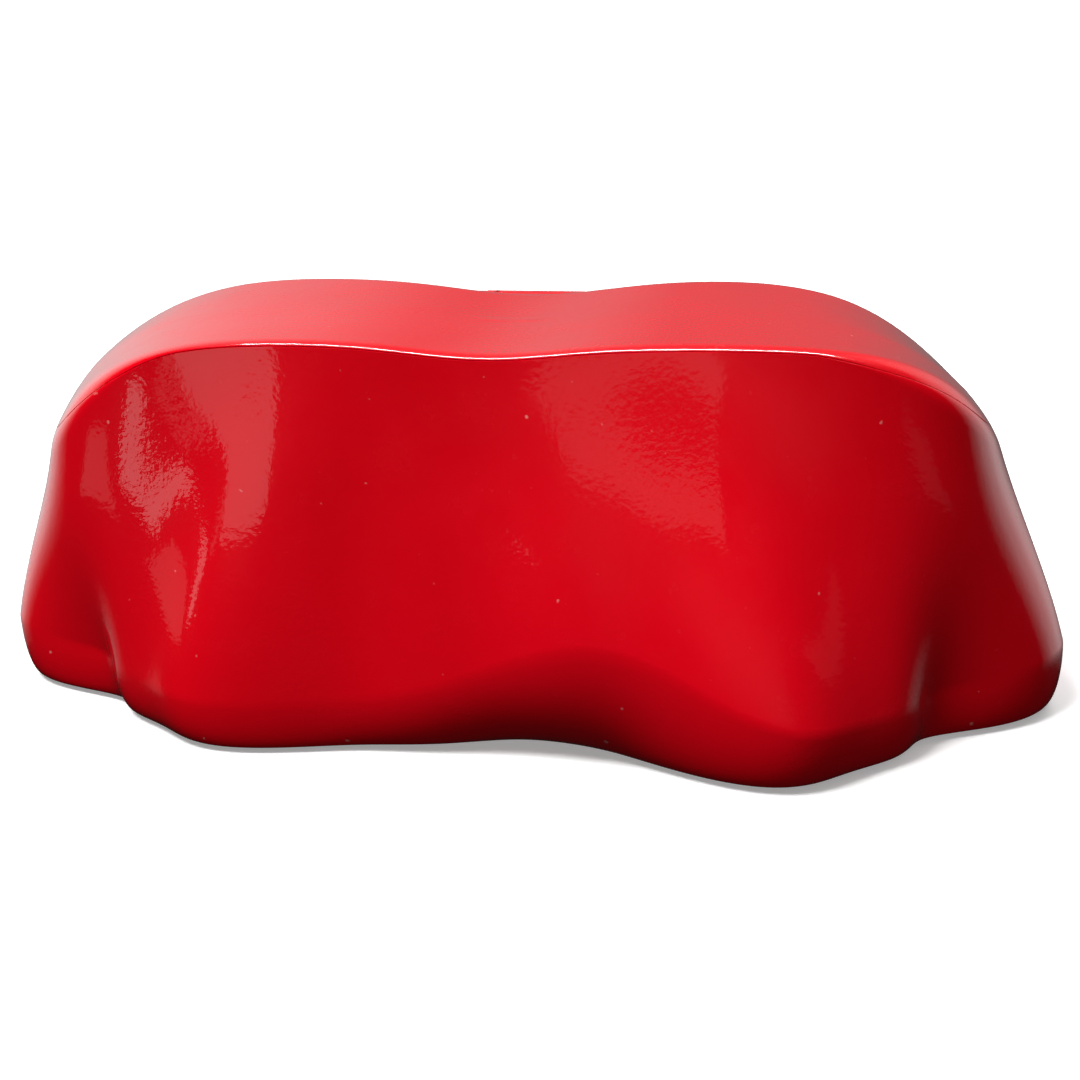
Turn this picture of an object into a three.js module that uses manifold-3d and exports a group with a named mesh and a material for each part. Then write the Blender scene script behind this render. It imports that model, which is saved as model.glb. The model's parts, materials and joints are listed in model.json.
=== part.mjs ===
// A gloss lacquered desk case for two cubes of cue chalk, with a hinged two-hump top.
// Millimetres, +Z up, +X along the length, front at -Y, origin at the middle of the underside.
import * as THREE from 'three';
import { mergeVertices } from 'three/addons/utils/BufferGeometryUtils.js';
import Module from 'manifold-3d';

const wasm = await Module();
wasm.setup();

// ---- Driving dimensions ---------------------------------------------------------------
const GAP = 0.3; // clearance between pieces
const STEPS = 96; // points round each outline
const TOP = {
  height: 40.6, // humps above the table
  halfLength: 47.0,
  halfDepth: 14.9,
  power: 3.2, // fullness of the outline in front
  backPower: 3.5, // and behind
  backWaist: 0.2, // share of the depth lost in the middle of the back edge
  backWaistWidth: 17.6,
  backSkew: 0.05, // the back edge stands out further on the right
  dip: 1.2, // saddle between the humps
  dipWidth: 10,
  roll: 10.9, // fall towards each tip
  rollPower: 5.8,
  tilt: 0.08, // fall towards the back
  backFall: 4.1, // extra fall at the back corners
  backFallPower: 6,
  twist: 4.6, // turn of the tips, the right one falling to the back
  twistPower: 5.2,
};
const GIRTH = {
  halfLength: 54.0,
  halfDepth: 20.4,
  power: 1.97,
  skew: 0.15, // the right lobes stand out further than the left
  waist: 0.07, // share of the depth lost at the thumb waist
  waistAngle: 0.47,
  lobe: 0.193, // share of the reach gained at each of the four lobes
  lobeAt: 0.634,
  lobeAngle: 0.197,
  valley: 0.088, // share of the reach lost beside each nose
  valleyAt: 0.211,
  valleyAngle: 0.093,
  height: 5.5, // above the table at the lobes
  noseHeight: 6.8,
  archHeight: 8.0, // extra height at the waist
  archAt: 10.7, // the arch is right of the middle
  archWidth: 15,
};
const WALL_EASE = 0.3; // how far the wall's slope eases at its top and foot
const UNDER = { reach: 1.6, waistReach: 7.9, lift: 0.6 }; // the turned-under edge
const WALL = 2.0;
const RIM = { width: 1.8, lip: 0.25, drop: 0.93 }; // bevelled seat of the lid
const LID_PLATE = 1.6;
// The base plate, and the width of the ledge it meets.
const PLATE = { thick: 2.4, halfLength: 37, halfDepth: 8.8, power: 3, ledge: 1.8 };
const CUBE = { side: 21.4, at: 12.2, back: -1.2, floor: 7.5, dishRadius: 7.6, dishDepth: 3.0 };
const LABEL = { gap: 0.15, thick: 0.3, height: 18.5 };
const WELL = { clearance: 0.3, wall: 1.0, top: 21.0, flange: 1.4 };
const POST = { at: 31.0, radius: 4.0, top: 31.4 };
const MAGNET = { radius: 3.0, thick: 2.0 };
const LINER = { alongShare: 0.8, acrossShare: 0.72, bottom: 32.4 };
const PAD = { side: 17, thick: 1.2 };
const HINGE = { out: 5.3, down: 3.45, webDrop: 8, barrel: 1.9, pin: 0.9, lidHalf: 4.8, bodyEnd: 11.5 };
const SCREW = { inner: 11, shank: 1.0, head: 2.3, headThick: 1.2, long: 5.6, boss: 3.2 };
const FOOT = { x: 27, y: 10.7, radius: 2.5, thick: 1.3 };

// ---- The outer surface ----------------------------------------------------------------
const gauss = (x, width) => Math.exp(-((x / width) ** 2));
const superRadius = (angle, a, b, power) =>
  ((Math.abs(Math.cos(angle)) / a) ** power + (Math.abs(Math.sin(angle)) / b) ** power) ** (-1 / power);

// Plan angles, spaced so that the points sit evenly along a long narrow outline.
const planAngles = Array.from({ length: STEPS }, (_, i) => {
  const t = (2 * Math.PI * i) / STEPS;
  return Math.atan2(0.3 * Math.sin(t), 0.5 * Math.cos(t));
});

function topHeight(x, y) {
  const saddle = TOP.dip * gauss(x, TOP.dipWidth);
  const fall = TOP.roll * Math.abs(x / TOP.halfLength) ** TOP.rollPower;
  const across = Math.max(y / TOP.halfDepth, 0) ** 1.5;
  const corner = TOP.backFall * across * Math.abs(x / TOP.halfLength) ** TOP.backFallPower;
  const turn = TOP.twist * Math.sign(x) * Math.abs(x / TOP.halfLength) ** TOP.twistPower;
  return TOP.height - saddle - fall - corner - TOP.tilt * y - turn * (y / TOP.halfDepth);
}

function topEdge(angle) {
  const behind = Math.sin(angle) > 0;
  const r = superRadius(angle, TOP.halfLength, TOP.halfDepth, behind ? TOP.backPower : TOP.power);
  const x = r * Math.cos(angle);
  const waisted = (1 - TOP.backWaist * gauss(x, TOP.backWaistWidth)) * (1 + TOP.backSkew * Math.cos(angle));
  const y = r * Math.sin(angle) * (behind ? waisted : 1);
  return new THREE.Vector3(x, y, topHeight(x, y));
}

function girthEdge(angle) {
  const fold = Math.atan2(Math.abs(Math.sin(angle)), Math.abs(Math.cos(angle)));
  const waist = GIRTH.waist * gauss(fold - Math.PI / 2, GIRTH.waistAngle);
  const lobe = GIRTH.lobe * gauss(fold - GIRTH.lobeAt, GIRTH.lobeAngle);
  const valley = GIRTH.valley * gauss(fold - GIRTH.valleyAt, GIRTH.valleyAngle);
  const share = 1 - waist + lobe - valley;
  const r = superRadius(angle, GIRTH.halfLength, GIRTH.halfDepth, GIRTH.power) * share;
  const x = r * Math.cos(angle);
  const nose = (GIRTH.noseHeight - GIRTH.height) * Math.abs(x / GIRTH.halfLength) ** 6;
  const z = GIRTH.height + nose + GIRTH.archHeight * gauss(x - GIRTH.archAt, GIRTH.archWidth);
  return new THREE.Vector3(x, r * Math.sin(angle) * (1 + GIRTH.skew * Math.cos(angle)), z);
}

// The wall between the top edge (share 0) and the girth (share 1).
function wallPoint(angle, share) {
  const top = topEdge(angle);
  const girth = girthEdge(angle);
  const eased = (1 - WALL_EASE) * share + WALL_EASE * share * share * (3 - 2 * share);
  const point = top.clone().lerp(girth, eased);
  return point.setZ(top.z + (girth.z - top.z) * share);
}

// The wall at a given drop below the top edge.
function wallBelowTop(angle, drop) {
  return wallPoint(angle, drop / (topEdge(angle).z - girthEdge(angle).z));
}

// The edge that turns under, from the girth (turn 0) to the flat underside (turn 90 degrees).
function underPoint(angle, turn) {
  const girth = girthEdge(angle);
  const arched = gauss(girth.x - GIRTH.archAt, GIRTH.archWidth);
  const reach = UNDER.reach + (UNDER.waistReach - UNDER.reach) * arched;
  const r = Math.hypot(girth.x, girth.y);
  const shrink = (r - reach * (1 - Math.cos(turn))) / r;
  const z = UNDER.lift + (girth.z - UNDER.lift) * (1 - Math.sin(turn));
  return new THREE.Vector3(girth.x * shrink, girth.y * shrink, z);
}

// The outline that a level plane cuts from the outer surface.
function planePoint(angle, z) {
  const top = topEdge(angle).z;
  const girth = girthEdge(angle).z;
  if (z >= girth) return wallPoint(angle, (top - z) / (top - girth)).setZ(z);
  return underPoint(angle, Math.asin(1 - (z - UNDER.lift) / (girth - UNDER.lift))).setZ(z);
}

// ---- Solids from outlines -------------------------------------------------------------
const loopOf = (pointAt) => planAngles.map(pointAt);

// An outline moved inward in plan by a distance, square to its own edge.
function inset(loop, distance) {
  return loop.map((point, i) => {
    const before = loop[(i + loop.length - 1) % loop.length];
    const after = loop[(i + 1) % loop.length];
    const along = new THREE.Vector2(after.x - before.x, after.y - before.y).normalize();
    return new THREE.Vector3(point.x - along.y * distance, point.y + along.x * distance, point.z);
  });
}

const atHeight = (loop, z) => loop.map((p) => new THREE.Vector3(p.x, p.y, z));
const underTop = (loop, depth) => loop.map((p) => new THREE.Vector3(p.x, p.y, topHeight(p.x, p.y) - depth));
const scaled = (loop, kx, ky) => loop.map((p) => new THREE.Vector3(p.x * kx, p.y * ky, p.z));

function geometryFrom(positions, triangles) {
  const geometry = new THREE.BufferGeometry();
  geometry.setAttribute('position', new THREE.Float32BufferAttribute(positions, 3));
  geometry.setIndex(triangles);
  return geometry;
}

function skin(rows, columns, triangles, ringed) {
  const last = ringed ? rows : rows - 1;
  for (let i = 0; i < last; i += 1) {
    const next = (i + 1) % rows;
    for (let j = 0; j < columns; j += 1) {
      const k = (j + 1) % columns;
      triangles.push(i * columns + j, next * columns + j, next * columns + k);
      triangles.push(i * columns + j, next * columns + k, i * columns + k);
    }
  }
}

// A closed tube wall: outlines listed from the rim down the outside and back up the inside.
function ring(loops) {
  const triangles = [];
  skin(loops.length, STEPS, triangles, true);
  return geometryFrom(loops.flat().flatMap((p) => [p.x, p.y, p.z]), triangles);
}

// A closed lens or slab: outlines listed from the top middle, round the edge, to the bottom middle.
function slab(loops) {
  const triangles = [];
  skin(loops.length, STEPS, triangles, false);
  const count = loops.length * STEPS;
  const first = loops[0];
  const final = loops[loops.length - 1];
  const middle = (loop) => [0, 0, loop.reduce((sum, p) => sum + p.z, 0) / loop.length];
  for (let j = 0; j < STEPS; j += 1) {
    const k = (j + 1) % STEPS;
    triangles.push(count, j, k);
    triangles.push(count + 1, count - STEPS + k, count - STEPS + j);
  }
  const positions = loops.flat().flatMap((p) => [p.x, p.y, p.z]);
  return geometryFrom([...positions, ...middle(first), ...middle(final)], triangles);
}

// ---- Joins and cuts -------------------------------------------------------------------
function toSolid(geometry) {
  const bare = geometry.clone();
  bare.deleteAttribute('normal');
  bare.deleteAttribute('uv');
  const merged = mergeVertices(bare, 1e-5);
  return new wasm.Manifold(new wasm.Mesh({
    numProp: 3,
    vertProperties: new Float32Array(merged.attributes.position.array),
    triVerts: new Uint32Array(merged.index.array),
  }));
}

function toGeometry(solid) {
  const mesh = solid.getMesh();
  return geometryFrom(Array.from(mesh.vertProperties), Array.from(mesh.triVerts));
}

function combine(base, added, removed) {
  let solid = toSolid(base);
  added.forEach((geometry) => {
    solid = solid.add(toSolid(geometry));
  });
  removed.forEach((geometry) => {
    solid = solid.subtract(toSolid(geometry));
  });
  return toGeometry(solid);
}

const box = (x0, x1, y0, y1, z0, z1) =>
  new THREE.BoxGeometry(x1 - x0, y1 - y0, z1 - z0).translate((x0 + x1) / 2, (y0 + y1) / 2, (z0 + z1) / 2);
const rod = (radius, z0, z1, x, y, sides = 20) =>
  new THREE.CylinderGeometry(radius, radius, z1 - z0, sides)
    .rotateX(Math.PI / 2)
    .translate(x, y, (z0 + z1) / 2);
const rodAlongX = (radius, x0, x1, y, z, sides = 20) =>
  new THREE.CylinderGeometry(radius, radius, x1 - x0, sides)
    .rotateZ(Math.PI / 2)
    .translate((x0 + x1) / 2, y, z);

// A block along X whose section is a polygon of [y, z] corners.
function prismAlongX(corners, x0, x1) {
  const shape = new THREE.Shape(corners.map(([y, z]) => new THREE.Vector2(y, z)));
  const geometry = new THREE.ExtrudeGeometry(shape, { depth: x1 - x0, bevelEnabled: false });
  return geometry.rotateX(Math.PI / 2).rotateZ(Math.PI / 2).translate(x0, 0, 0);
}

// An upright block with rounded corners and eased top and bottom edges.
function easedBlock(side, radius, ease, z0, z1) {
  const h = side / 2 - ease;
  const shape = new THREE.Shape();
  shape.moveTo(-h + radius, -h);
  shape.lineTo(h - radius, -h);
  shape.absarc(h - radius, -h + radius, radius, -Math.PI / 2, 0);
  shape.absarc(h - radius, h - radius, radius, 0, Math.PI / 2);
  shape.absarc(-h + radius, h - radius, radius, Math.PI / 2, Math.PI);
  shape.absarc(-h + radius, -h + radius, radius, Math.PI, 1.5 * Math.PI);
  const options = {
    depth: z1 - z0 - 2 * ease,
    bevelEnabled: ease > 0,
    bevelSize: ease,
    bevelThickness: ease,
    bevelSegments: 1,
    curveSegments: 3,
  };
  return new THREE.ExtrudeGeometry(shape, options).translate(0, 0, z0 + ease);
}

// ---- Places shared by several pieces --------------------------------------------------
const backEdge = topEdge(Math.PI / 2);
const axisY = backEdge.y + HINGE.out;
const axisZ = backEdge.z - HINGE.down;
const topOutline = loopOf(topEdge);
const underside = loopOf((angle) => underPoint(angle, Math.PI / 2));
const plateTop = UNDER.lift + PLATE.thick;
const plateOutline = (smaller) => loopOf((angle) => {
  const { halfLength, halfDepth, power } = PLATE;
  const r = superRadius(angle, halfLength - smaller, halfDepth - smaller, power);
  return new THREE.Vector3(r * Math.cos(angle), r * Math.sin(angle), UNDER.lift);
});
const ledgeTop = plateTop + GAP + 1.6;
const screwPlaces = [-POST.at, -SCREW.inner, SCREW.inner, POST.at];
const footPlaces = [[1, 1], [-1, 1], [-1, -1], [1, -1]].map(([sx, sy]) => [sx * FOOT.x, sy * FOOT.y]);

// ---- Pieces ---------------------------------------------------------------------------
// The lacquered body: a tube wall with a bevelled seat on top and a ledge for the base plate.
function caseBody() {
  const seatDrop = RIM.lip + GAP;
  const outer = [loopOf((a) => wallBelowTop(a, seatDrop))];
  [0.08, 0.2, 0.35, 0.5, 0.65, 0.8, 0.92, 1].forEach((share) => {
    outer.push(loopOf((a) => wallPoint(a, share)));
  });
  [25, 50, 72, 90].forEach((turn) => outer.push(loopOf((a) => underPoint(a, (turn * Math.PI) / 180))));
  const opening = plateOutline(0);
  const ledge = plateOutline(PLATE.ledge);
  const seatInner = underTop(inset(topOutline, RIM.width), seatDrop + RIM.drop);
  const inner = [
    opening,
    atHeight(opening, plateTop + GAP),
    atHeight(ledge, plateTop + GAP),
    atHeight(ledge, ledgeTop),
    ...[ledgeTop, 7.5, 13, 19].map((z) => inset(loopOf((a) => planePoint(a, z)), WALL)),
    inset(loopOf((a) => wallPoint(a, 0.16)), WALL),
    seatInner,
  ];
  const webTop = planePoint(Math.PI / 2, axisZ + 0.9).y - 0.9;
  const webFoot = planePoint(Math.PI / 2, axisZ - HINGE.webDrop).y - 0.9;
  const web = [
    [webTop, axisZ + 0.9],
    [axisY, axisZ + 0.9],
    [axisY + 1.7, axisZ - 0.8],
    [webFoot, axisZ - HINGE.webDrop],
  ];
  const knuckles = [-1, 1].flatMap((side) => {
    const x0 = Math.min(side * (HINGE.lidHalf + GAP), side * HINGE.bodyEnd);
    const x1 = Math.max(side * (HINGE.lidHalf + GAP), side * HINGE.bodyEnd);
    return [rodAlongX(HINGE.barrel, x0, x1, axisY, axisZ), prismAlongX(web, x0, x1)];
  });
  const reach = HINGE.lidHalf + 1;
  const stopBar = box(-reach, reach, axisY + 2.3, axisY + 3.2, axisZ - 0.2, axisZ + 1.1);
  const stopEnds = [-1, 1].map((side) => {
    const x = side * (HINGE.lidHalf + GAP + 0.8);
    return box(x - 0.8, x + 0.8, axisY, axisY + 3.2, axisZ - 0.2, axisZ + 1.1);
  });
  const half = HINGE.lidHalf + GAP;
  const cuts = [
    rodAlongX(HINGE.barrel + GAP, -half, half, axisY, axisZ, 24),
    box(-half, half, backEdge.y - 3.5, axisY, backEdge.z - LID_PLATE - 0.6, backEdge.z + 2),
    rodAlongX(HINGE.pin + GAP, -HINGE.bodyEnd - 2, HINGE.bodyEnd + 2, axisY, axisZ, 16),
    ...footPlaces.map(([x, y]) => rod(FOOT.radius + GAP, UNDER.lift - 1, FOOT.thick + 0.1, x, y, 24)),
  ];
  return combine(ring([...outer, ...inner]), [...knuckles, ...stopEnds, stopBar], cuts);
}

// The lacquered lid: a waved plate with a bevelled edge and one knuckle at the back.
function caseLid() {
  const shares = [0.12, 0.32, 0.52, 0.7, 0.84, 0.94, 1];
  const top = shares.map((k) => underTop(scaled(topOutline, k, k), 0));
  const seat = underTop(inset(topOutline, RIM.width), RIM.lip + RIM.drop);
  const plate = inset(topOutline, RIM.width + 1);
  const bottom = [1, 0.8, 0.6, 0.38, 0.14].map((k) => underTop(scaled(plate, k, k), LID_PLATE));
  const body = slab([...top, loopOf((a) => wallBelowTop(a, RIM.lip)), seat, ...bottom]);
  const tongue = [
    [backEdge.y - 4, backEdge.z - 1.45], [backEdge.y - 4, backEdge.z - 0.35],
    [backEdge.y - 0.2, backEdge.z - 0.35], [axisY - 1.6, axisZ + 1.95], [axisY, axisZ + 1.85],
    [axisY + 0.3, axisZ], [axisY - 1.5, axisZ + 0.6], [backEdge.y - 0.6, backEdge.z - 1.3],
  ];
  const half = HINGE.lidHalf - GAP / 2;
  return combine(
    body,
    [prismAlongX(tongue, -half, half), rodAlongX(HINGE.barrel, -half, half, axisY, axisZ)],
    [rodAlongX(HINGE.pin + GAP, -half - 2, half + 2, axisY, axisZ, 16)],
  );
}

// The plug under the lid: its top follows the waved plate and its underside is flat.
function lidLiner() {
  const outline = scaled(topOutline, LINER.alongShare, LINER.acrossShare);
  const top = [0.3, 0.6, 0.85, 1].map((k) => underTop(scaled(outline, k, k), LID_PLATE + 3 * GAP));
  const pockets = [-1, 1].map((side) =>
    rod(MAGNET.radius + GAP, LINER.bottom - 1, LINER.bottom + MAGNET.thick + 0.1,
      side * POST.at * 0.97, 0));
  return combine(slab([...top, atHeight(outline, LINER.bottom)]), [], pockets);
}

function chalkTray() {
  const wellHalf = CUBE.side / 2 + LABEL.gap + LABEL.thick + WELL.clearance;
  const outX = CUBE.at + wellHalf + WELL.wall;
  const outY = wellHalf + WELL.wall;
  const floorTop = CUBE.floor - GAP / 3;
  const underWells = floorTop - WELL.wall;
  const flangeBottom = WELL.top - WELL.flange;
  const outline = inset(loopOf((a) => planePoint(a, WELL.top)), WALL + 2 * GAP);
  const flange = slab([atHeight(outline, WELL.top), atHeight(outline, flangeBottom)]);
  const middle = CUBE.back;
  const wells = [-1, 1].map((side) => {
    const x = side * CUBE.at;
    return box(x - wellHalf, x + wellHalf, middle - wellHalf, middle + wellHalf, floorTop, WELL.top + 1);
  });
  const posts = [-1, 1].map((side) => rod(POST.radius, plateTop + GAP, POST.top, side * POST.at, 0));
  const stubs = [-1, 1].map((side) =>
    rod(SCREW.boss, plateTop + GAP, underWells + 0.5, side * SCREW.inner, 0));
  const bores = screwPlaces.map((x) =>
    rod(SCREW.shank + GAP, plateTop, UNDER.lift + SCREW.long + GAP, x, 0, 12));
  const pockets = [-1, 1].map((side) =>
    rod(MAGNET.radius + GAP, POST.top - MAGNET.thick - 0.1, POST.top + 1, side * POST.at, 0));
  const block = box(-outX, outX, middle - outY, middle + outY, underWells, WELL.top - 0.2);
  return combine(flange, [block, ...posts, ...stubs], [...wells, ...pockets, ...bores]);
}

function chalkCube() {
  const { side, floor, dishRadius, dishDepth } = CUBE;
  const top = floor + side;
  const ball = (dishRadius ** 2 + dishDepth ** 2) / (2 * dishDepth);
  const scoop = new THREE.SphereGeometry(ball, 28, 18)
    .rotateX(Math.PI / 2)
    .translate(0, 0, top - dishDepth + ball);
  return combine(easedBlock(side, 1.0, 0.4, floor, top), [], [scoop]);
}

function chalkLabel() {
  const inner = CUBE.side + 2 * LABEL.gap;
  const z0 = CUBE.floor;
  const outside = easedBlock(inner + 2 * LABEL.thick, 1.2, 0, z0, z0 + LABEL.height);
  return combine(outside, [], [easedBlock(inner, 1.0, 0, z0 - 1, z0 + LABEL.height + 1)]);
}

function basePlate() {
  const outline = plateOutline(GAP);
  const slices = slab([atHeight(outline, plateTop), atHeight(outline, UNDER.lift)]);
  const holes = screwPlaces.flatMap((x) => [
    rod(SCREW.shank + GAP, UNDER.lift - 1, plateTop + 1, x, 0, 12),
    rod(SCREW.head + GAP, UNDER.lift - 1, UNDER.lift + SCREW.headThick, x, 0, 20),
  ]);
  return combine(slices, [], holes);
}

function baseScrew() {
  const headTop = UNDER.lift + SCREW.headThick - 0.1;
  const profile = [
    [0, UNDER.lift], [SCREW.head - 0.3, UNDER.lift], [SCREW.head, UNDER.lift + 0.3], [SCREW.head, headTop],
    [SCREW.shank, headTop], [SCREW.shank, UNDER.lift + SCREW.long - 0.8], [0, UNDER.lift + SCREW.long],
  ];
  const outline = profile.map(([r, z]) => new THREE.Vector2(r, z));
  const turned = new THREE.LatheGeometry(outline, 16).rotateX(Math.PI / 2);
  const slot = box(-0.35, 0.35, -1.5, 1.5, UNDER.lift - 0.5, UNDER.lift + 0.5);
  return combine(turned, [], [slot, slot.clone().rotateZ(Math.PI / 2)]);
}

const rubberFoot = () => {
  const { radius, thick } = FOOT;
  const profile = [[0, 0], [radius - 0.4, 0], [radius, 0.4], [radius, thick], [0, thick]];
  return new THREE.LatheGeometry(profile.map(([r, z]) => new THREE.Vector2(r, z)), 24).rotateX(Math.PI / 2);
};

const discMagnet = (x, z0) => rod(MAGNET.radius, z0, z0 + MAGNET.thick, x, 0, 24);

// ---- Assembly -------------------------------------------------------------------------
const finish = (color, roughness, metalness = 0) => () =>
  new THREE.MeshStandardMaterial({ color, roughness, metalness });
const lacquer = finish(0xc8000f, 0.12);
const blackPlastic = finish(0x1b1b1d, 0.5);
const steel = finish(0xb8bcc0, 0.3, 1);
const nickel = finish(0xc9c9c4, 0.2, 1);
const chalkBlue = finish(0x2f6fae, 0.95);
const paper = finish(0x234f86, 0.8);
const felt = finish(0x303236, 1);
const rubber = finish(0x121212, 0.85);

const caseGroup = new THREE.Group();

function place(parent, name, geometry, material, x = 0, y = 0) {
  const mesh = new THREE.Mesh(geometry, material());
  mesh.name = name;
  mesh.position.set(x, y, 0);
  parent.add(mesh);
}

const bodyGroup = new THREE.Group();
const lidGroup = new THREE.Group();
caseGroup.add(bodyGroup, lidGroup);

place(bodyGroup, 'case_body', caseBody(), lacquer);
place(bodyGroup, 'hinge_pin', rodAlongX(HINGE.pin, -HINGE.bodyEnd, HINGE.bodyEnd, axisY, axisZ, 16), steel);
place(bodyGroup, 'chalk_tray', chalkTray(), blackPlastic);
place(bodyGroup, 'base_plate', basePlate(), blackPlastic);
place(lidGroup, 'case_lid', caseLid(), lacquer);
place(lidGroup, 'lid_liner', lidLiner(), blackPlastic);

[['left', -1], ['right', 1]].forEach(([name, side]) => {
  place(bodyGroup, `chalk_cube_${name}`, chalkCube(), chalkBlue, side * CUBE.at, CUBE.back);
  place(bodyGroup, `chalk_label_${name}`, chalkLabel(), paper, side * CUBE.at, CUBE.back);
  place(bodyGroup, `tray_magnet_${name}`, discMagnet(side * POST.at, POST.top - MAGNET.thick), nickel);
  place(lidGroup, `lid_magnet_${name}`, discMagnet(side * POST.at * 0.97, LINER.bottom - 0.1), nickel);
  const padTop = LINER.bottom - GAP / 3;
  const pad = easedBlock(PAD.side, 2, 0, padTop - PAD.thick, padTop);
  place(lidGroup, `lid_pad_${name}`, pad, felt, side * CUBE.at, CUBE.back);
});
screwPlaces.forEach((x, i) => place(bodyGroup, `base_screw_${i + 1}`, baseScrew(), steel, x));
footPlaces.forEach(([x, y], i) => place(bodyGroup, `foot_${i + 1}`, rubberFoot(), rubber, x, y));

export default caseGroup;
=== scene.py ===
"""A gloss red lacquered desk case for two cubes of cue chalk, on a plain pale floor."""

import json
import math

import bmesh
import bpy
import numpy as np
from mathutils import Matrix, Vector, noise


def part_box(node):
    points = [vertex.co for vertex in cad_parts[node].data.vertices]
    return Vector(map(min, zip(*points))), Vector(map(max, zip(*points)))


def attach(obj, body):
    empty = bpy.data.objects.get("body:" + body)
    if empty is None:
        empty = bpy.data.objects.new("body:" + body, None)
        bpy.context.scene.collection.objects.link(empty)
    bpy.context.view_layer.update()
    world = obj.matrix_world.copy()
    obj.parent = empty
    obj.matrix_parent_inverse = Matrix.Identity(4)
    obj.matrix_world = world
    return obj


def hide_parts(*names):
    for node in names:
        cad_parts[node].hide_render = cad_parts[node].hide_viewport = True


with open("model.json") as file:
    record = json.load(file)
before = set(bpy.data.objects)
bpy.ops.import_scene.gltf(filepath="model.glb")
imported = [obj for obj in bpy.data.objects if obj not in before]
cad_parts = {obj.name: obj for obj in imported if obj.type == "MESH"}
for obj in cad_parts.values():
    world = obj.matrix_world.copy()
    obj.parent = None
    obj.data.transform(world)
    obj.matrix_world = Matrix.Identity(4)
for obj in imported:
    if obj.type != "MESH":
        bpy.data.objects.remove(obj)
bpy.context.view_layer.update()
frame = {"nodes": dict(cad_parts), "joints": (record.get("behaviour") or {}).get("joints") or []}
MM = 0.001
AROUND = 480  # points round the lacquered shells

# The outer surface, in millimetres, as the CAD part has it.
TOP_HEIGHT, TOP_LENGTH, TOP_DEPTH = 40.6, 47.0, 14.9
TOP_POWER, TOP_BACK_POWER = 3.2, 3.5
BACK_WAIST, BACK_WAIST_WIDTH, BACK_SKEW = 0.2, 17.6, 0.05
SADDLE_DIP, SADDLE_WIDTH = 1.2, 10
TIP_FALL, TIP_FALL_POWER = 10.9, 5.8
CORNER_FALL, CORNER_FALL_POWER = 4.1, 6
TWIST, TWIST_POWER = 4.6, 5.2
BACK_TILT = 0.08
GIRTH_LENGTH, GIRTH_DEPTH, GIRTH_POWER, GIRTH_SKEW = 54.0, 20.4, 1.97, 0.15
WAIST, WAIST_ANGLE = 0.07, 0.47
LOBE, LOBE_AT, LOBE_ANGLE = 0.193, 0.634, 0.197
VALLEY, VALLEY_AT, VALLEY_ANGLE = 0.088, 0.211, 0.093
GIRTH_HEIGHT, NOSE_RISE = 5.5, 1.3
ARCH_HEIGHT, ARCH_AT, ARCH_WIDTH = 8.0, 10.7, 15.0
WALL_EASE, UNDER_LIFT = 0.3, 0.6
UNDER_REACH, WAIST_REACH = 1.6, 6.3  # the second is added at the waist
RIM_WIDTH, LID_PLATE, WALL = 1.8, 1.6, 2.0


def gauss(x, width):
    return np.exp(-((x / width) ** 2))


def smooth(x, low, high):
    k = np.clip((x - low) / (high - low), 0, 1)
    return k * k * (3 - 2 * k)


def super_radius(angle, a, b, power):
    along = (np.abs(np.cos(angle)) / a) ** power
    return (along + (np.abs(np.sin(angle)) / b) ** power) ** (-1 / power)


def plan_angles(count):
    t = 2 * np.pi * np.arange(count) / count
    return np.arctan2(0.3 * np.sin(t), 0.5 * np.cos(t))


def top_height(x, y):
    out = np.abs(x / TOP_LENGTH)
    corner = CORNER_FALL * np.maximum(y / TOP_DEPTH, 0) ** 1.5 * out**CORNER_FALL_POWER
    turn = TWIST * np.sign(x) * out**TWIST_POWER * y / TOP_DEPTH
    saddle = SADDLE_DIP * gauss(x, SADDLE_WIDTH)
    return TOP_HEIGHT - saddle - TIP_FALL * out**TIP_FALL_POWER - corner - BACK_TILT * y - turn


def top_edge(angle):
    behind = np.sin(angle) > 0
    r = super_radius(angle, TOP_LENGTH, TOP_DEPTH, np.where(behind, TOP_BACK_POWER, TOP_POWER))
    x = r * np.cos(angle)
    waisted = (1 - BACK_WAIST * gauss(x, BACK_WAIST_WIDTH)) * (1 + BACK_SKEW * np.cos(angle))
    y = r * np.sin(angle) * np.where(behind, waisted, 1)
    return np.stack([x, y, top_height(x, y)], -1)


def girth_edge(angle, valley=1.0):
    """The widest outline. valley fades the hollows beside the noses, from 1 to 0."""
    fold = np.arctan2(np.abs(np.sin(angle)), np.abs(np.cos(angle)))
    share = 1 - WAIST * gauss(fold - np.pi / 2, WAIST_ANGLE) + LOBE * gauss(fold - LOBE_AT, LOBE_ANGLE)
    share -= VALLEY * valley * gauss(fold - VALLEY_AT, VALLEY_ANGLE)
    r = super_radius(angle, GIRTH_LENGTH, GIRTH_DEPTH, GIRTH_POWER) * share
    x = r * np.cos(angle)
    y = r * np.sin(angle) * (1 + GIRTH_SKEW * np.cos(angle))
    arch = ARCH_HEIGHT * gauss(x - ARCH_AT, ARCH_WIDTH)
    z = GIRTH_HEIGHT + NOSE_RISE * np.abs(x / GIRTH_LENGTH) ** 6 + arch
    return np.stack([x, y, z], -1)


def wall_point(angle, share):
    share = np.broadcast_to(share, angle.shape)[:, None]
    top, girth = top_edge(angle), girth_edge(angle, np.clip(share[:, 0], 0, 1) ** 1.5)
    eased = (1 - WALL_EASE) * share + WALL_EASE * share * share * (3 - 2 * share)
    point = top + (girth - top) * eased
    point[:, 2:] = top[:, 2:] + (girth[:, 2:] - top[:, 2:]) * share
    return point


def wall_below(angle, drop):
    return wall_point(angle, drop / (top_edge(angle)[:, 2] - girth_edge(angle)[:, 2]))


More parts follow.
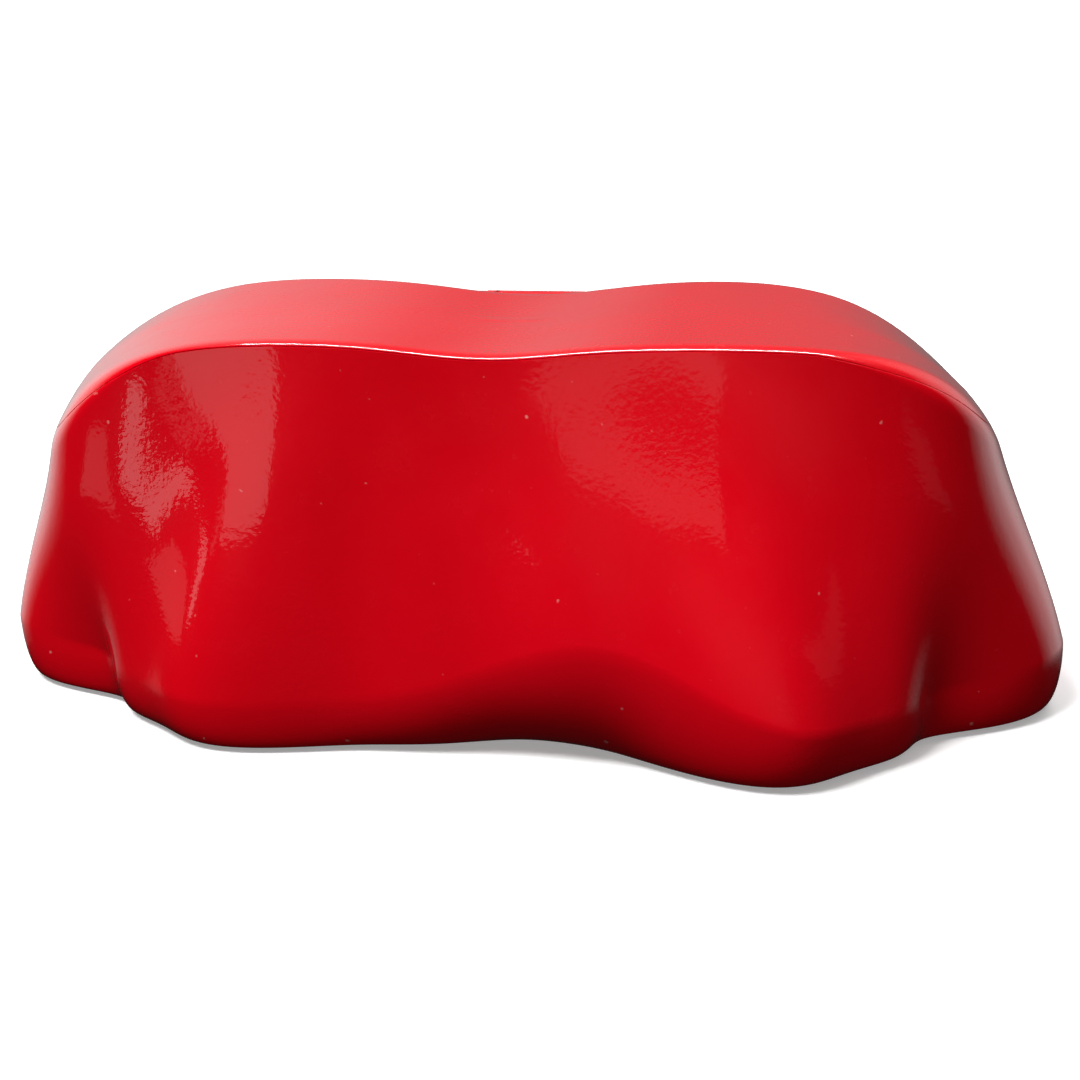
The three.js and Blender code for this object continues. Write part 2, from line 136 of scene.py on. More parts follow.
def under_point(angle, turn):
    """The turned-under edge. turn is one angle, or one for each point, in radians."""
    girth = girth_edge(angle)
    reach = UNDER_REACH + WAIST_REACH * gauss(girth[:, 0] - ARCH_AT, ARCH_WIDTH)
    r = np.hypot(girth[:, 0], girth[:, 1])
    shrink = (r - reach * (1 - np.cos(turn))) / r
    z = UNDER_LIFT + (girth[:, 2] - UNDER_LIFT) * (1 - np.sin(turn))
    return np.stack([girth[:, 0] * shrink, girth[:, 1] * shrink, z], 1)


def plane_point(angle, z):
    top, girth = top_edge(angle)[:, 2], girth_edge(angle)[:, 2]
    wall = wall_point(angle, np.clip((top - z) / (top - girth), 0, 1))
    turn = np.arcsin(np.clip(1 - (z - UNDER_LIFT) / (girth - UNDER_LIFT), 0, 1))
    point = np.where((z >= girth)[:, None], wall, under_point(angle, turn))
    point[:, 2] = z
    return point


def outward(loop):
    """Plan directions square to an outline, pointing out."""
    along = np.roll(loop, -1, 0)[:, :2] - np.roll(loop, 1, 0)[:, :2]
    along /= np.linalg.norm(along, axis=1, keepdims=True)
    return np.stack([along[:, 1], -along[:, 0]], -1)


def inset(loop, distance):
    moved = loop.copy()
    moved[:, :2] -= outward(loop) * np.reshape(distance, (-1, 1))
    return moved


def under_top(loop, depth):
    moved = loop.copy()
    moved[:, 2] = top_height(loop[:, 0], loop[:, 1]) - depth
    return moved


def at_height(loop, z):
    moved = loop.copy()
    moved[:, 2] = z
    return moved


def superellipse(angle, a, b, power, z):
    r = super_radius(angle, a, b, power)
    return np.stack([r * np.cos(angle), r * np.sin(angle), np.full_like(r, z)], -1)


# The rounded top edge. A share of 0 to 1 crosses it from the facet to the wall.
# Past 1 it goes on down the wall.
ANGLES = plan_angles(AROUND)
CORNER = top_edge(ANGLES)
SOFT = smooth(np.abs(CORNER[:, 0]), 30, 46)  # the crisp edge melts towards the tips
FILLET = 0.42 + 2.3 * SOFT
FACET_ROLL = 1.3 + 1.6 * SOFT  # how far in from the edge the facet starts to turn down
SEAM = 1 - 0.42 * SOFT


def edge_point(u):
    u = np.broadcast_to(u, ANGLES.shape)
    facet = under_top(inset(CORNER, FACET_ROLL), 0)
    drop = np.where(u > 1, FILLET * (2 * u - 1), FILLET)
    foot = wall_below(ANGLES, FILLET)
    wall = wall_below(ANGLES, drop)
    t = np.clip(u, 0, 1)[:, None]
    curve = (1 - t) ** 2 * facet + 2 * t * (1 - t) * CORNER + t * t * foot
    return np.where((u > 1)[:, None], wall, curve)


# ---- Meshes ---------------------------------------------------------------------------
def new_object(name, verts, faces, smooth_angle=35.0):
    mesh = bpy.data.meshes.new(name)
    mesh.from_pydata([tuple(v) for v in verts], [], faces)
    mesh.validate()
    obj = bpy.data.objects.new(name, mesh)
    bpy.context.scene.collection.objects.link(obj)
    tidy_normals(obj, smooth_angle)
    return obj


def tidy_normals(obj, smooth_angle):
    edit = bmesh.new()
    edit.from_mesh(obj.data)
    bmesh.ops.remove_doubles(edit, verts=edit.verts, dist=1e-7)
    bmesh.ops.recalc_face_normals(edit, faces=edit.faces)
    limit = math.radians(smooth_angle)
    for face in edit.faces:
        face.smooth = True
    for edge in edit.edges:
        edge.smooth = len(edge.link_faces) != 2 or edge.calc_face_angle(0) < limit
    edit.to_mesh(obj.data)
    edit.free()


def loft(name, loops, closed=False, caps=False, smooth_angle=35.0):
    """A skin over outlines of equal length, ringed round or capped with a middle point at each end."""
    count = len(loops[0])
    verts = [p * MM for loop in loops for p in loop]
    faces = []
    rows = len(loops)
    for i in range(rows if closed else rows - 1):
        for j in range(count):
            k = (j + 1) % count
            n = (i + 1) % rows
            faces.append((i * count + j, i * count + k, n * count + k, n * count + j))
    if caps:
        for row in (0, rows - 1):
            middle = len(verts)
            verts.append(np.mean(loops[row], 0) * MM)
            for j in range(count):
                faces.append((row * count + j, row * count + (j + 1) % count, middle))
    return new_object(name, verts, faces, smooth_angle)


def lathe(name, profile, axis="Z", centre=(0, 0, 0), sides=64, closed=False, smooth_angle=35.0):
    """A turned piece: profile is (radius, place along the axis) pairs, in millimetres."""
    loops = []
    turn = 2 * np.pi * np.arange(sides) / sides
    for radius, along in profile:
        radius = max(radius, 1e-4)
        a, b, c = radius * np.cos(turn), radius * np.sin(turn), np.full(sides, along)
        loops.append(np.stack([c, a, b] if axis == "X" else [a, b, c], -1) + np.array(centre))
    return loft(name, loops, closed=closed, caps=False, smooth_angle=smooth_angle)


def extrude_along_x(name, corners, x0, x1, bevel):
    """A block along X whose section is a polygon of (y, z) corners, with rounded edges."""
    verts = [np.array([x, y, z]) * MM for x in (x0, x1) for y, z in corners]
    n = len(corners)
    faces = [tuple(range(n)), tuple(range(2 * n - 1, n - 1, -1))]
    faces += [(i, n + i, n + (i + 1) % n, (i + 1) % n) for i in range(n)]
    obj = new_object(name, verts, faces)
    round_edges(obj, bevel, 30, 3)
    return obj


def round_edges(obj, width, angle=40.0, segments=2):
    bevel = obj.modifiers.new("rounded edges", "BEVEL")
    bevel.width = width * MM
    bevel.segments = segments
    bevel.limit_method = "ANGLE"
    bevel.angle_limit = math.radians(angle)
    bevel.harden_normals = True
    return obj


def finish_piece(obj, body, slot, material, *nodes):
    obj.data.materials.clear()
    obj.data.materials.append(material)
    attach(obj, body)
    if nodes:
        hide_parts(*nodes)
    return obj


# ---- Materials ------------------------------------------------------------------------
class Nodes:
    """A new material and short calls for adding nodes to it."""

    def __init__(self, name):
        self.material = bpy.data.materials.new(name)
        self.material.use_nodes = True
        self.tree = self.material.node_tree
        self.shader = self.tree.nodes["Principled BSDF"]
        self.place = self.add("ShaderNodeTexCoord").outputs["Object"]

    def add(self, kind, inputs=None, **settings):
        node = self.tree.nodes.new(kind)
        for key, value in settings.items():
            setattr(node, key, value)
        for key, value in (inputs or {}).items():
            if isinstance(value, bpy.types.NodeSocket):
                self.tree.links.new(value, node.inputs[key])
            else:
                node.inputs[key].default_value = value
        return node

    def noise(self, scale, detail=2.0, rough=0.5, stretch=None, **inputs):
        where = self.place
        if stretch:
            where = self.add("ShaderNodeMapping", {"Vector": where, "Scale": stretch}).outputs[0]
        given = {"Vector": where, "Scale": scale, "Detail": detail, "Roughness": rough, **inputs}
        return self.add("ShaderNodeTexNoise", given).outputs["Fac"]

    def ramp(self, value, *stops):
        node = self.add("ShaderNodeValToRGB", {"Fac": value})
        ramp = node.color_ramp
        while len(ramp.elements) < len(stops):
            ramp.elements.new(0.5)
        for element, (at, colour) in zip(ramp.elements, stops):
            element.position = at
            element.color = colour if len(colour) == 4 else (*colour, 1)
        return node.outputs["Color"]

    def math(self, operation, a, b=0.0):
        return self.add("ShaderNodeMath", {0: a, 1: b}, operation=operation).outputs[0]

    def mix(self, factor, a, b):
        node = self.add("ShaderNodeMix", data_type="RGBA")
        for socket, value in ((node.inputs[0], factor), (node.inputs[6], a), (node.inputs[7], b)):
            if isinstance(value, bpy.types.NodeSocket):
                self.tree.links.new(value, socket)
            else:
                socket.default_value = value if isinstance(value, float) else (*value, 1)
        return node.outputs[2]

    def bump(self, height, strength, distance, under=None):
        inputs = {"Height": height, "Strength": strength, "Distance": distance}
        if under is not None:
            inputs["Normal"] = under
        return self.add("ShaderNodeBump", inputs).outputs["Normal"]

    def set(self, **inputs):
        for key, value in inputs.items():
            socket = self.shader.inputs[key.replace("_", " ")]
            if isinstance(value, bpy.types.NodeSocket):
                self.tree.links.new(value, socket)
            else:
                socket.default_value = value
        return self.material


def lacquer_material():
    """Deep red gloss lacquer: slow waviness, fine orange peel, and a little dust in the clear coat."""
    n = Nodes("red lacquer")
    cloud = n.noise(38, 3, 0.55)
    deep = n.ramp(cloud, (0.3, (0.70, 0.0006, 0.0070)), (0.7, (0.78, 0.0008, 0.0095)))
    specks = n.noise(900, 1, 0.4)
    dust = n.ramp(specks, (0.80, (0, 0, 0)), (0.84, (1, 1, 1)))
    colour = n.mix(dust, deep, (0.80, 0.18, 0.17))
    waves = n.noise(62, 1.5, 0.4)
    peel = n.noise(1700, 2, 0.5)
    slow = n.bump(waves, 0.06, 0.0016)
    skin = n.bump(peel, 0.10, 0.00012, slow)
    rough = n.ramp(n.noise(240, 3, 0.6), (0.35, (0.20, 0.20, 0.20)), (0.75, (0.30, 0.30, 0.30)))
    n.set(Base_Color=colour, Roughness=rough, Normal=skin, Specular_IOR_Level=0.15)
    return n.set(Coat_Weight=1.0, Coat_Roughness=0.035, Coat_IOR=1.5, Coat_Normal=skin)


def plastic_material():
    n = Nodes("black moulded plastic")
    tone = n.ramp(n.noise(90, 4, 0.6), (0.3, (0.010, 0.010, 0.011)), (0.75, (0.020, 0.020, 0.022)))
    grain = n.noise(2600, 3, 0.6)
    rough = n.ramp(n.noise(400, 3, 0.6), (0.3, (0.38, 0.38, 0.38)), (0.8, (0.55, 0.55, 0.55)))
    return n.set(Base_Color=tone, Roughness=rough, Normal=n.bump(grain, 0.35, 0.00006))


def chalk_material():
    """Pressed blue chalk: powdery, mottled, paler where it is rubbed."""
    n = Nodes("pressed chalk")
    mottle = n.ramp(n.noise(160, 5, 0.7), (0.25, (0.030, 0.125, 0.300)), (0.8, (0.062, 0.215, 0.430)))
    grit = n.ramp(n.noise(1900, 3, 0.7), (0.42, (0, 0, 0)), (0.75, (0.7, 0.7, 0.7)))
    powder = n.mix(grit, mottle, (0.17, 0.36, 0.58))
    height = n.math("ADD", n.noise(1500, 4, 0.75), n.math("MULTIPLY", n.noise(260, 4, 0.6), 1.4))
    n.set(Base_Color=powder, Roughness=0.97, Normal=n.bump(height, 0.8, 0.00022), Specular_IOR_Level=0.12)
    return n.set(Sheen_Weight=0.25, Sheen_Roughness=0.6)


def paper_material(low, high):
    """A plain printed paper sleeve: dark blue with a pale line near each edge, and faint fibres."""
    n = Nodes("label paper")
    height = n.add("ShaderNodeSeparateXYZ", {"Vector": n.place}).outputs["Z"]
    share = n.math("DIVIDE", n.math("SUBTRACT", height, low), high - low)
    from_middle = n.math("ABSOLUTE", n.math("SUBTRACT", share, 0.5))
    off, on = (0, 0, 0), (1, 1, 1)
    line = n.ramp(from_middle, (0.0, off), (0.395, off), (0.405, on), (0.43, on), (0.44, off))
    ink = n.ramp(n.noise(500, 4, 0.6), (0.3, (0.012, 0.040, 0.120)), (0.8, (0.022, 0.062, 0.165)))
    printed = n.mix(line, ink, (0.72, 0.70, 0.62))
    rubbed = n.ramp(n.noise(210, 5, 0.75), (0.60, (0, 0, 0)), (0.78, (0.35, 0.35, 0.35)))
    colour = n.mix(rubbed, printed, (0.12, 0.25, 0.40))
    fibres = n.noise(1300, 4, 0.7, stretch=(1, 1, 0.25))
    return n.set(Base_Color=colour, Roughness=0.72, Normal=n.bump(fibres, 0.35, 0.00006))


def felt_material():
    n = Nodes("grey felt")
    tone = n.ramp(n.noise(700, 5, 0.8), (0.3, (0.018, 0.020, 0.024)), (0.75, (0.060, 0.065, 0.075)))
    fibres = n.noise(2200, 4, 0.8, Distortion=1.5)
    n.set(Base_Color=tone, Roughness=0.95, Normal=n.bump(fibres, 0.9, 0.00025))
    return n.set(Sheen_Weight=0.6, Sheen_Roughness=0.5)


def metal_material(name, colour, rough, brushed):
    n = Nodes(name)
    tone = n.ramp(n.noise(300, 3, 0.6), (0.3, tuple(c * 0.82 for c in colour)), (0.8, colour))
    lines = n.noise(900, 3, 0.6, stretch=(0.06, 1, 1) if brushed else None)
    value = n.ramp(lines, (0.3, (rough * 0.7,) * 3), (0.75, (rough * 1.35,) * 3))
    return n.set(Base_Color=tone, Metallic=1.0, Roughness=value, Normal=n.bump(lines, 0.12, 0.00003))


def rubber_material():
    n = Nodes("black rubber")
    tone = n.ramp(n.noise(500, 4, 0.6), (0.3, (0.008, 0.008, 0.008)), (0.8, (0.022, 0.022, 0.021)))
    return n.set(Base_Color=tone, Roughness=0.82, Normal=n.bump(n.noise(2400, 3, 0.7), 0.4, 0.00005))


lacquer = lacquer_material()
plastic = plastic_material()
chalk = chalk_material()
felt = felt_material()
steel = metal_material("turned steel", (0.62, 0.63, 0.65), 0.28, True)
nickel = metal_material("nickel plate", (0.70, 0.69, 0.66), 0.16, False)
rubber = rubber_material()

# ---- Where things are, from the frame --------------------------------------------------
hinge = next(j for j in frame["joints"] if j["name"] == "lid_hinge")
AXIS = np.array(hinge["pos_m"]) / MM
PIN_LOW, PIN_HIGH = (np.array(corner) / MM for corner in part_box("hinge_pin"))
PLATE_HIGH = np.array(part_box("base_plate")[1]) / MM
back_edge = top_edge(np.array([np.pi / 2]))[0]
KNUCKLE_IN, KNUCKLE_OUT, BARREL, BORE = 5.1, PIN_HIGH[0], 1.9, 1.2


# ---- Lacquered shells ------------------------------------------------------------------
def build_lid():
    facet = under_top(inset(CORNER, FACET_ROLL), 0)
    loops = [under_top(facet * k, 0) for k in np.linspace(0.03, 1, 34)[:-1] ** 0.8]
    loops += [edge_point(SEAM * k) for k in np.linspace(0, 1, 9)]
    last = loops[-1]
    loops.append(inset(last, 0.035) - np.array([0, 0, 0.03]))
    loops.append(inset(last, 0.12) - np.array([0, 0, 0.06]))
    loops.append(under_top(inset(CORNER, RIM_WIDTH), 1.18))
    plate = inset(CORNER, RIM_WIDTH + 1)
    for k in (1, 0.9, 0.75, 0.6, 0.45, 0.3, 0.15, 0.03):
        loops.append(under_top(plate * np.array([k, k, 1]), LID_PLATE))
    shell = loft("lacquered_lid", loops, caps=True, smooth_angle=40)
    return finish_piece(shell, "lid", "red_lacquer", lacquer, "case_lid")


def build_body():
    notched = (CORNER[:, 1] > 0) & (np.abs(CORNER[:, 0]) < KNUCKLE_IN)
    gap = 0.09 / (2 * FILLET)
    start = np.where(notched, 1 + 1.9 / (2 * FILLET), SEAM + gap)
    end = np.maximum(start + 0.4, 1.6)
    rim = edge_point(start)
    loops = [inset(rim, 0.14) + np.array([0, 0, 0.03]), inset(rim, 0.035) + np.array([0, 0, 0.005])]
    loops += [edge_point(start + (end - start) * k) for k in (0.04, 0.15, 0.3, 0.45, 0.6, 0.8, 1.0)]
    height = CORNER[:, 2] - girth_edge(ANGLES)[:, 2]
    reached = FILLET * (2 * end - 1) / height
    loops += [wall_point(ANGLES, reached + (1 - reached) * k) for k in np.linspace(0, 1, 56)[1:]]
    loops += [under_point(ANGLES, np.radians(turn)) for turn in np.linspace(0, 90, 15)[1:]]
    opening = superellipse(ANGLES, 37.0, 8.8, 3, UNDER_LIFT)
    ledge = superellipse(ANGLES, 35.2, 7.0, 3, UNDER_LIFT)
    plate_top = PLATE_HIGH[2] + 0.3
    ledge_top = plate_top + 1.6
    loops += [opening, at_height(opening, plate_top)]
    loops += [at_height(ledge, plate_top), at_height(ledge, ledge_top)]
    loops += [inset(plane_point(ANGLES, z), WALL) for z in (ledge_top, 7.5, 10, 13, 16, 19)]
    loops.append(inset(wall_point(ANGLES, 0.16), WALL))
    loops.append(under_top(inset(CORNER, RIM_WIDTH), np.where(notched, 2.9, 1.48)))
    shell = loft("lacquered_body", loops, closed=True, smooth_angle=40)
    return finish_piece(shell, "case", "red_lacquer", lacquer, "case_body")


def barrel(name, x0, x1):
    ease = 0.25
    profile = [
        (BORE, x0), (BARREL - ease, x0), (BARREL, x0 + ease),
        (BARREL, x1 - ease), (BARREL - ease, x1), (BORE, x1),
    ]
    return lathe(name, profile, axis="X", centre=(0, AXIS[1], AXIS[2]), closed=True)


def build_hinge():
    wall_top = plane_point(np.array([np.pi / 2]), AXIS[2] + 0.9)[0, 1] - 0.3
    wall_foot = plane_point(np.array([np.pi / 2]), AXIS[2] - 8)[0, 1] - 0.3
    y, z = AXIS[1], AXIS[2]
    web = [(wall_top, z + 0.9), (y, z + 0.9), (y + 1.7, z - 0.8), (wall_foot, z - 8)]
    for name, x0, x1 in (("left", -KNUCKLE_OUT, -KNUCKLE_IN), ("right", KNUCKLE_IN, KNUCKLE_OUT)):
        finish_piece(barrel(f"body_knuckle_{name}", x0, x1), "case", "red_lacquer", lacquer, "case_body")
        block = extrude_along_x(f"knuckle_web_{name}", web, x0 + 0.05, x1 - 0.05, 0.3)
        finish_piece(block, "case", "red_lacquer", lacquer, "case_body")
    section = [(y + 2.3, z - 0.2), (y + 2.3, z + 1.1), (y + 3.2, z + 1.1), (y + 3.2, z - 0.2)]
    stop = extrude_along_x("lid_stop_bar", section, -5.8, 5.8, 0.2)
    finish_piece(stop, "case", "red_lacquer", lacquer, "case_body")
    for name, x0, x1 in (("left", -6.7, -5.1), ("right", 5.1, 6.7)):
        section = [(y, z - 0.2), (y, z + 1.1), (y + 3.2, z + 1.1), (y + 3.2, z - 0.2)]
        end = extrude_along_x(f"stop_end_{name}", section, x0, x1, 0.2)
        finish_piece(end, "case", "red_lacquer", lacquer, "case_body")
    by, bz = back_edge[1], back_edge[2]
    tongue = [
        (by - 4, bz - 1.45), (by - 4, bz - 0.45), (by - 0.2, bz - 0.45), (y - 1.6, z + 1.9), (y, z + 1.85),
        (y - 1.3, z + 1.2), (y - 1.9, z + 0.6), (by - 0.6, bz - 1.3),
    ]
    leaf = extrude_along_x("lid_hinge_leaf", tongue, -4.65, 4.65, 0.2)
    finish_piece(leaf, "lid", "red_lacquer", lacquer, "case_lid")
    finish_piece(barrel("lid_knuckle", -4.65, 4.65), "lid", "red_lacquer", lacquer, "case_lid")
    x0, x1, r = PIN_LOW[0], PIN_HIGH[0], (PIN_HIGH[2] - PIN_LOW[2]) / 2
    profile = [(0.0, x0), (r - 0.3, x0), (r - 0.08, x0 + 0.1), (r, x0 + 0.3)]
    profile += [(r, x1 - 0.3), (r - 0.08, x1 - 0.1), (r - 0.3, x1), (0.0, x1)]
    pin = lathe("steel_hinge_pin", profile, axis="X", centre=(0, AXIS[1], AXIS[2]), sides=40)
    finish_piece(pin, "case", "steel", steel, "hinge_pin")


build_lid()
build_body()
build_hinge()


# ---- Chalk, labels and pads --------------------------------------------------------------
def rounded_block(name, low, high, radius, cuts, shape):
    """A finely divided block with rounded edges, each point then moved by shape(point, normal)."""
    edit = bmesh.new()
    bmesh.ops.create_cube(edit, size=2)
    bmesh.ops.subdivide_edges(edit, edges=edit.edges, cuts=cuts, use_grid_fill=True)
    low, high = Vector(low), Vector(high)
    middle, half = (low + high) / 2, (high - low) / 2
    for vert in edit.verts:
        point = Vector(vert.co[i] * half[i] for i in range(3))
        core = Vector(max(-half[i] + radius, min(half[i] - radius, point[i])) for i in range(3))
        away = point - core
        normal = away.normalized() if away.length > 1e-9 else Vector((0, 0, 1))
        vert.co = shape(middle + core + normal * radius if away.length > 1e-9 else middle + point, normal)
    mesh = bpy.data.meshes.new(name)
    edit.to_mesh(mesh)
    edit.free()
    obj = bpy.data.objects.new(name, mesh)
    bpy.context.scene.collection.objects.link(obj)
    tidy_normals(obj, 60)
    return obj


def build_chalk(side, seed):
    low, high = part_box(f"chalk_cube_{side}")
    centre = (low + high) / 2
    worn = Vector((seed * 7.3, seed * 3.1, seed * 5.7))

    def shape(point, normal):
        across = math.hypot(point.x - centre.x, point.y - centre.y) / MM
        if normal.z > 0.5 and across < 7.6:
            dish = 3.0 * (1 - (across / 7.6) ** 2)
            point = point - Vector((0, 0, dish * MM))
        near_edge = sum(abs(point[i] - centre[i]) > (high[i] - low[i]) / 2 - 0.0012 for i in range(3)) >= 2
        chip = max(0.0, noise.noise(point * 420 + worn) - 0.22) * (0.9 if near_edge else 0.15)
        ripple = 0.05 + 0.05 * noise.noise(point * 900 + worn)
        return point - (normal if normal.length else Vector((0, 0, 1))) * (chip + ripple) * MM

    block = rounded_block(f"worn_chalk_{side}", low, high, 0.0009, 52, shape)
    finish_piece(block, "case", "chalk", chalk, f"chalk_cube_{side}")


def build_label(side):
    low, high = (np.array(corner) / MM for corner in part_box(f"chalk_label_{side}"))
    middle = (low + high) / 2
    count = 160
    t = 2 * np.pi * np.arange(count) / count

    def outline(half, radius, z):
        points = []
        for a in t:
            c, s = math.cos(a), math.sin(a)
            reach = half / max(abs(c), abs(s))
            p = np.array([c * reach, s * reach])
            core = np.clip(p, -half + radius, half - radius)
            away = p - core
            length = np.linalg.norm(away)
            p = core + away / length * radius if length > radius else p
            wave = 0.05 * noise.noise(Vector((p[0] * 0.2, p[1] * 0.2, z * 0.15)))
            points.append([middle[0] + p[0] * (1 - wave / half), middle[1] + p[1] * (1 - wave / half), z])
        return np.array(points)

    half = (high[0] - low[0]) / 2 - 0.04
    z0, z1 = low[2], high[2]
    levels = np.linspace(z0, z1, 10)
    loops = [outline(half, 1.2, z) for z in levels] + [outline(half - 0.22, 1.0, z) for z in levels[::-1]]
    sleeve = loft(f"paper_sleeve_{side}", loops, closed=True, smooth_angle=50)
    finish_piece(sleeve, "case", "label_paper", paper_material(z0 * MM, z1 * MM), f"chalk_label_{side}")


def build_pad(side, seed):
    low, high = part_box(f"lid_pad_{side}")
    shift = Vector((seed * 4.1, seed * 2.7, 0))

    def shape(point, normal):
        depth = 0.07 + 0.07 * noise.noise(point * 500 + shift) + 0.05 * noise.noise(point * 1500 + shift)
        return point - normal * max(depth, 0) * MM

    pad = rounded_block(f"felt_pad_{side}", low, high, 0.00045, 40, shape)
    finish_piece(pad, "lid", "felt", felt, f"lid_pad_{side}")


for number, side in enumerate(("left", "right")):
    build_chalk(side, number + 1)
    build_label(side)
    build_pad(side, number + 1)


# ---- Screws, feet and carried-over pieces ------------------------------------------------
def build_screw(number):
    low, high = (np.array(corner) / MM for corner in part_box(f"base_screw_{number}"))
    x, y = (low[0] + high[0]) / 2, (low[1] + high[1]) / 2
    r, z = (high[0] - low[0]) / 2, low[2]
    profile = [(0.0, z + 0.05), (r * 0.55, z + 0.02), (r - 0.35, z + 0.1), (r - 0.08, z + 0.3)]
    profile += [(r, z + 0.5), (r, z + 1.1), (1.0, z + 1.1)]
    turns = int((high[2] - z - 1.9) / 0.4)
    for i in range(turns):
        profile += [(1.0, z + 1.2 + 0.4 * i), (0.86, z + 1.4 + 0.4 * i)]
    profile += [(0.8, high[2] - 0.6), (0.0, high[2])]
    screw = lathe(f"turned_screw_{number}", profile, centre=(x, y, 0), sides=48)
    slot_ends = [(y - 1.5, z - 0.2), (y - 1.5, z + 0.55), (y + 1.5, z + 0.55), (y + 1.5, z - 0.2)]
    for turn in (0, math.pi / 2):
        cutter = extrude_along_x("screw_slot", slot_ends, -0.33, 0.33, 0)
        cutter.modifiers.clear()
        centre = Matrix.Translation((0, y * MM, 0))
        turned_slot = centre @ Matrix.Rotation(turn, 4, "Z") @ centre.inverted()
        cutter.data.transform(Matrix.Translation((x * MM, 0, 0)) @ turned_slot)
        cut_away(screw, cutter)
    finish_piece(screw, "case", "steel", steel, f"base_screw_{number}")


def cut_away(obj, cutter):
    """Subtracts cutter from obj's own mesh and deletes cutter."""
    modifier = obj.modifiers.new("cut", "BOOLEAN")
    modifier.operation = "DIFFERENCE"
    modifier.object = cutter
    graph = bpy.context.evaluated_depsgraph_get()
    mesh = bpy.data.meshes.new_from_object(obj.evaluated_get(graph))
    obj.modifiers.clear()
    obj.data = mesh
    bpy.data.objects.remove(cutter)
    tidy_normals(obj, 35)


def build_foot(number):
    low, high = (np.array(corner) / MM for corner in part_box(f"foot_{number}"))
    x, y = (low[0] + high[0]) / 2, (low[1] + high[1]) / 2
    r, z = (high[0] - low[0]) / 2, high[2]
    profile = [(0.0, 0.12), (r * 0.5, 0.1), (r - 0.7, 0.0), (r - 0.35, 0.03)]
    profile += [(r - 0.1, 0.15), (r, 0.4), (r, z), (0.0, z)]
    foot = lathe(f"rubber_foot_{number}", profile, centre=(x, y, 0), sides=56)
    finish_piece(foot, "case", "rubber", rubber, f"foot_{number}")


for number in (1, 2, 3, 4):
    build_screw(number)
    build_foot(number)

carried = {
    "chalk_tray": (plastic, 0.3), "base_plate": (plastic, 0.25), "lid_liner": (plastic, 0.3),
    "tray_magnet_left": (nickel, 0.2), "tray_magnet_right": (nickel, 0.2),
    "lid_magnet_left": (nickel, 0.2), "lid_magnet_right": (nickel, 0.2),
}
for node, (material, width) in carried.items():
    obj = frame["nodes"][node]
    obj.data.materials.clear()
    obj.data.materials.append(material)
    round_edges(obj, width, 40, 2)

# ---- Camera ------------------------------------------------------------------------------
AIM = Vector((1.80, 0.0, 16.19)) * MM
DISTANCE = 0.3166
YAW, ELEVATION, CAMERA_ROLL = math.radians(11.34), math.radians(21.54), math.radians(2.67)
level = math.cos(ELEVATION)
towards_camera = Vector((math.sin(YAW) * level, -math.cos(YAW) * level, math.sin(ELEVATION)))
camera_data = bpy.data.cameras.new("camera")
camera = bpy.data.objects.new("camera", camera_data)
bpy.context.scene.collection.objects.link(camera)
camera.rotation_mode = "QUATERNION"
camera.location = AIM + towards_camera * DISTANCE
turned = (-towards_camera).to_track_quat("-Z", "Y")
camera.rotation_quaternion = turned @ Matrix.Rotation(-CAMERA_ROLL, 3, "Z").to_quaternion()
camera_data.sensor_width = 36
camera_data.lens = 104.8
camera_data.clip_start = 0.01
camera_data.clip_end = 20
bpy.context.scene.camera = camera

# ---- Floor and light -----------------------------------------------------------------------
def stage_card(name, corners, material):
    """A flat card that stands in the room. It isn't part of the object."""
    mesh = bpy.data.meshes.new(name)
    mesh.from_pydata([tuple(c) for c in corners], [], [tuple(range(len(corners)))])
    mesh.materials.append(material)
    made = bpy.data.objects.new(name, mesh)
    bpy.context.scene.collection.objects.link(made)
    return made


def glow(name, strength):
    material = bpy.data.materials.new(name)
    material.use_nodes = True
    shader = material.node_tree.nodes["Principled BSDF"]
    shader.inputs["Base Color"].default_value = (0, 0, 0, 1)
    shader.inputs["Specular IOR Level"].default_value = 0
    shader.inputs["Emission Color"].default_value = (1, 1, 1, 1)
    shader.inputs["Emission Strength"].default_value = strength
    return material


def only_reflected(obj):
    obj.visible_camera = False
    obj.visible_diffuse = False
    obj.visible_shadow = False
    obj.visible_transmission = False


def reflected_card(name, azimuth, outline, strength):
    """A small upright window card that only reflections see. outline is (across, up) in millimetres."""
    a = math.radians(azimuth)
    away, across = Vector((math.sin(a), -math.cos(a), 0)), Vector((math.cos(a), math.sin(a), 0))
    corners = [(away * CARD_DISTANCE + across * u + Vector((0, 0, z))) * MM for u, z in outline]
    only_reflected(stage_card(name, corners, glow(f"{name} glow", strength)))


floor_look = Nodes("pale floor")
floor_noise = floor_look.noise(3, 2, 0.5)
floor_tone = floor_look.ramp(floor_noise, (0.3, (0.88, 0.88, 0.88)), (0.7, (0.91, 0.91, 0.91)))
floor_look.set(Base_Color=floor_tone, Roughness=0.9, Specular_IOR_Level=0.1)
floor_look.set(Emission_Color=(1, 1, 1, 1), Emission_Strength=0.3)
floor = stage_card("floor", [(-3, -3, 0), (3, -3, 0), (3, 3, 0), (-3, 3, 0)], floor_look.material)
floor.visible_glossy = False  # the lacquer mirrors the dark room and not the floor
floor.visible_diffuse = False

